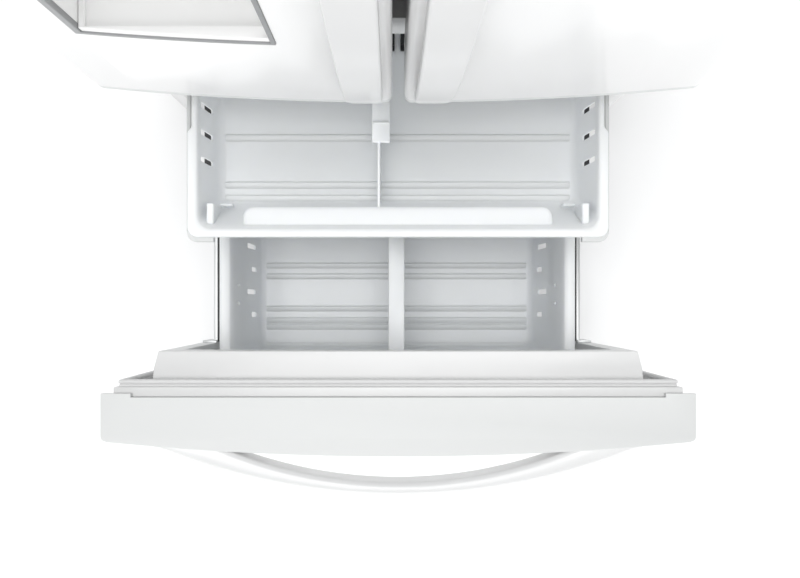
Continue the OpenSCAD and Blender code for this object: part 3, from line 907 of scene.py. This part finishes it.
@dataclass
class Dispenser:
    """Fascia, recess, tray, paddle and buttons in the left door."""

    shop: Workshop

    def build(self) -> None:
        """Dress the dispenser's pieces."""
        self.shop.eased("dispenser_fascia", 0.0015, 3)
        self.shop.eased("dispenser_housing", 0.0012, 3)
        self.shop.eased("drip_tray", 0.001)
        self.shop.eased("dispenser_paddle", 0.0015, 3)
        for node in ("water_button", "ice_button", "light_button"):
            self.shop.eased(node, 0.0012, 3)
        LOG.info("dispenser")


# ---------------------------------------------------------------- cabinet


@dataclass
class Cabinet:
    """The case, what it stands on and what closes it."""

    shop: Workshop

    def build(self) -> None:
        """Round the edges of the case's visible pieces."""
        for node, edge in (("cabinet_shell", 0.0006), ("hinge_covers", 0.004), ("toe_grille", 0.0012),
                           ("center_rail", 0.0008), ("door_hinges", 0.0008), ("leveling_legs", 0.001),
                           ("rear_rollers", 0.002), ("rear_panels", 0.0006), ("air_covers", 0.0008),
                           ("ceiling_light", 0.004), ("shelf_frames", 0.0015),
                           ("left_crisper", 0.0012), ("right_crisper", 0.0012), ("fixed_rails", 0.0006),
                           ("middle_rails", 0.0008), ("drawer_frame", 0.0008), ("ice_room", 0.0015),
                           ("wall_brackets", 0.0006)):
            self.shop.eased(node, edge)
        LOG.info("cabinet")


# ---------------------------------------------------------------- studio


@dataclass
class Studio:
    """Pale floor, soft lights and the camera above the drawer.

    The camera stands eye_ahead in front of the centre rail and looks straight down, as an unturned one does.
    """

    eye_height: float = 2.05
    eye_ahead: float = 0.423
    eye_side: float = -0.009
    sensor: float = 36.0
    lens: float = 40.17
    shift: Point2 = (0.0096, 0.02)
    floor_half: float = 9.0
    sky_strength: float = 0.56

    def build(self) -> None:
        """Make the floor, the lights and the camera."""
        self._floor()
        self._sky()
        self._lamp("overhead", way=(0.05, -0.02, -1.0), spread=32.0, strength=1.45)
        self._lamp("front_fill", way=(0.0, 1.0, -0.20), spread=70.0, strength=2.2)
        self._camera()
        LOG.info("studio")

    def _floor(self) -> None:
        """A wide pale floor."""
        mold = Mold()
        half = self.floor_half
        mold.cap(mold.ring([(-half, -half, 0.0), (half, -half, 0.0), (half, half, 0.0), (-half, half, 0.0)]))
        data = mold.mesh("floor")
        floor = bpy.data.objects.new("floor", data)
        bpy.context.scene.collection.objects.link(floor)
        data.materials.append(Finish("floor_paint", (0.97, 0.97, 0.97), 0.85, unevenness=0.0).build())

    def _sky(self) -> None:
        """An even white surround."""
        world = bpy.data.worlds.new("surround")
        bpy.context.scene.world = world
        world.use_nodes = True
        background = world.node_tree.nodes["Background"]
        background.inputs["Color"].default_value = SKY_COLOR
        background.inputs["Strength"].default_value = self.sky_strength

    def _lamp(self, name: str, way: Point3, spread: float, strength: float) -> None:
        """One broad, even light.

        Args:
            name: Its name.
            way: The direction its light travels in.
            spread: The angle it comes from, in degrees.
            strength: Its strength.
        """
        data = bpy.data.lights.new(name, "SUN")
        data.angle = math.radians(spread)
        data.energy = strength
        lamp = bpy.data.objects.new(name, data)
        lamp.location = Vector(way) * -4.0
        lamp.rotation_euler = Vector(way).to_track_quat("-Z", "Y").to_euler()
        bpy.context.scene.collection.objects.link(lamp)

    def _camera(self) -> None:
        """The camera, looking straight down."""
        scene = bpy.context.scene
        data = bpy.data.cameras.new("camera")
        data.sensor_width = self.sensor
        data.lens = self.lens
        data.shift_x, data.shift_y = self.shift
        data.clip_start = 0.01
        camera = bpy.data.objects.new("camera", data)
        front = Box.of("center_rail").low.y
        camera.location = (self.eye_side, front - self.eye_ahead, self.eye_height)
        scene.collection.objects.link(camera)
        scene.camera = camera
        scene.view_settings.view_transform = "Standard"


def main() -> None:
    """Build the refrigerator's looks and log how many pieces were made."""
    logging.basicConfig(level=logging.INFO, format="%(name)s: %(message)s")
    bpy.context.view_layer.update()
    palette = Palette(FINISHES)
    palette.dress_nodes()
    shop = Workshop(palette)
    Studio().build()
    Cabinet(shop).build()
    Doors(shop).build()
    Dispenser(shop).build()
    FreezerBaskets(shop).build()
    BowHandle(shop, "left_handle", upright=True, thickness=0.020, end_inner=0.876).build()
    BowHandle(shop, "right_handle", upright=True, thickness=0.020, end_inner=0.876).build()
    BowHandle(shop, "freezer_handle", upright=False, thickness=0.022, end_inner=0.75).build()
    LOG.info("%d pieces", len(shop.pieces))


if __name__ == "__main__":
    main()
